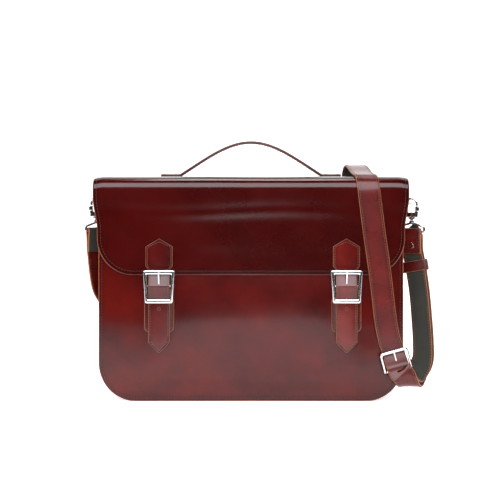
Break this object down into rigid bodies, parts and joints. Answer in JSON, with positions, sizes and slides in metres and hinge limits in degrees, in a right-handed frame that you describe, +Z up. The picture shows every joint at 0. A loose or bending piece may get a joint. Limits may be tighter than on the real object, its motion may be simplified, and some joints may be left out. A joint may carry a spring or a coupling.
{
  "type": "satchel bag",
  "caption": "Leather satchel with a full-width front flap, buckled closure straps, a top handle and a clip-on shoulder strap.",
  "frame": {"origin": "the middle of the lower edge of the front seam, where the bag stands on its base plane; the seam runs along X", "axes": "+Z up, +X to the right seen from the front, the front flap faces -Y"},
  "size_m": [0.4429, 0.1475, 0.325],
  "materials": {
    "body_leather": "glossy burgundy pull-up leather with tan raw edges",
    "inner_leather": "burgundy gusset leather, flesh side inside",
    "handle_leather": "dark burgundy strap leather",
    "strap_leather": "glossy burgundy strap leather, stitched along both edges",
    "buckle_metal": "polished nickel plate",
    "snap_metal": "nickel-plated steel"
  },
  "bodies": {
    "body": {"front_panel": "body_leather", "back_panel": "body_leather", "gusset": "inner_leather", "divider": "inner_leather", "slip_pocket": "inner_leather", "flap_anchor": "body_leather", "snap_plate": "snap_metal", "snap_washer": "snap_metal", "dring_tab": "strap_leather", "tab_rivet": "buckle_metal", "clasp_eye_l": "buckle_metal", "clasp_eye_r": "buckle_metal", "short_strap": "strap_leather", "strap_rivet": "buckle_metal", "keeper": "strap_leather", "strap_buckle": "buckle_metal"},
    "strap": {"long_strap": "strap_leather"},
    "strap_prong": {"strap_prong": "buckle_metal"},
    "flap": {"flap": "body_leather", "handle": "handle_leather", "handle_backing": "inner_leather", "upper_tab_l": "strap_leather", "upper_tab_r": "strap_leather"},
    "closure_l": {"closure_strap_l": "strap_leather", "buckle_tab_l": "strap_leather", "buckle_l": "buckle_metal", "magnet_l": "snap_metal"},
    "closure_r": {"closure_strap_r": "strap_leather", "buckle_tab_r": "strap_leather", "buckle_r": "buckle_metal", "magnet_r": "snap_metal"},
    "prong_l": {"prong_l": "buckle_metal"},
    "prong_r": {"prong_r": "buckle_metal"},
    "ring_l": {"dring_l": "buckle_metal"},
    "ring_r": {"dring_r": "buckle_metal"},
    "hook_l": {"clasp_hook_l": "buckle_metal"},
    "hook_r": {"clasp_hook_r": "buckle_metal"},
    "gate_l": {"clasp_gate_l": "buckle_metal"},
    "gate_r": {"clasp_gate_r": "buckle_metal"}
  },
  "joints": [
    {"name": "flap_open", "type": "hinge", "parent": "body", "child": "flap", "pos_m": [0, 0.0855, 0.2785], "axis": [-1, 0, 0], "range_deg": [0, 110]},
    {"name": "strap_aside", "type": "hinge", "parent": "body", "child": "strap", "pos_m": [0.1795, 0.042, 0.0522], "axis": [0, 1, 0], "range_deg": [0, 40], "deforming": ["long_strap"]},
    {"name": "closure_l_swing", "type": "hinge", "parent": "flap", "child": "closure_l", "pos_m": [-0.114, -0.00885, 0.1668], "axis": [-1, 0, 0], "range_deg": [0, 60]},
    {"name": "closure_r_swing", "type": "hinge", "parent": "flap", "child": "closure_r", "pos_m": [0.1185, -0.00885, 0.1668], "axis": [-1, 0, 0], "range_deg": [0, 60]},
    {"name": "prong_l_lift", "type": "hinge", "parent": "closure_l", "child": "prong_l", "pos_m": [-0.114, -0.0095, 0.144], "axis": [1, 0, 0], "range_deg": [0, 38]},
    {"name": "prong_r_lift", "type": "hinge", "parent": "closure_r", "child": "prong_r", "pos_m": [0.1185, -0.0095, 0.144], "axis": [1, 0, 0], "range_deg": [0, 38]},
    {"name": "strap_prong_lift", "type": "hinge", "parent": "body", "child": "strap_prong", "pos_m": [0.18235, -0.0126, 0.04158], "axis": [0.9659, 0, 0.2588], "range_deg": [0, 50]},
    {"name": "ring_l_swing", "type": "hinge", "parent": "body", "child": "ring_l", "pos_m": [-0.1865, 0.042, 0.2672], "axis": [0, 1, 0], "range_deg": [0, 5]},
    {"name": "ring_r_swing", "type": "hinge", "parent": "body", "child": "ring_r", "pos_m": [0.1865, 0.042, 0.26024], "axis": [0, -1, 0], "range_deg": [0, 5]},
    {"name": "clasp_l_swivel", "type": "hinge", "parent": "body", "child": "hook_l", "pos_m": [-0.1983, 0.042, 0.232], "axis": [0, 0, 1], "range_deg": [-25, 15]},
    {"name": "clasp_r_swivel", "type": "hinge", "parent": "body", "child": "hook_r", "pos_m": [0.2065, 0.042, 0.231], "axis": [0, 0, 1], "range_deg": [-8, 30]},
    {"name": "clasp_l_gate", "type": "hinge", "parent": "hook_l", "child": "gate_l", "pos_m": [-0.20454, 0.04112, 0.2346], "axis": [-0.1392, 0.9903, 0], "range_deg": [0, 18], "stiffness_Nm_per_rad": 0.02, "springref_deg": -28.65},
    {"name": "clasp_r_gate", "type": "hinge", "parent": "hook_r", "child": "gate_r", "pos_m": [0.21258, 0.04037, 0.2336], "axis": [-0.2588, -0.9659, 0], "range_deg": [0, 18], "stiffness_Nm_per_rad": 0.02, "springref_deg": -28.65}
  ],
  "couplings": [
    {"joint": "strap_aside", "follows": "flap_open", "ratio": 0.36364}
  ]
}
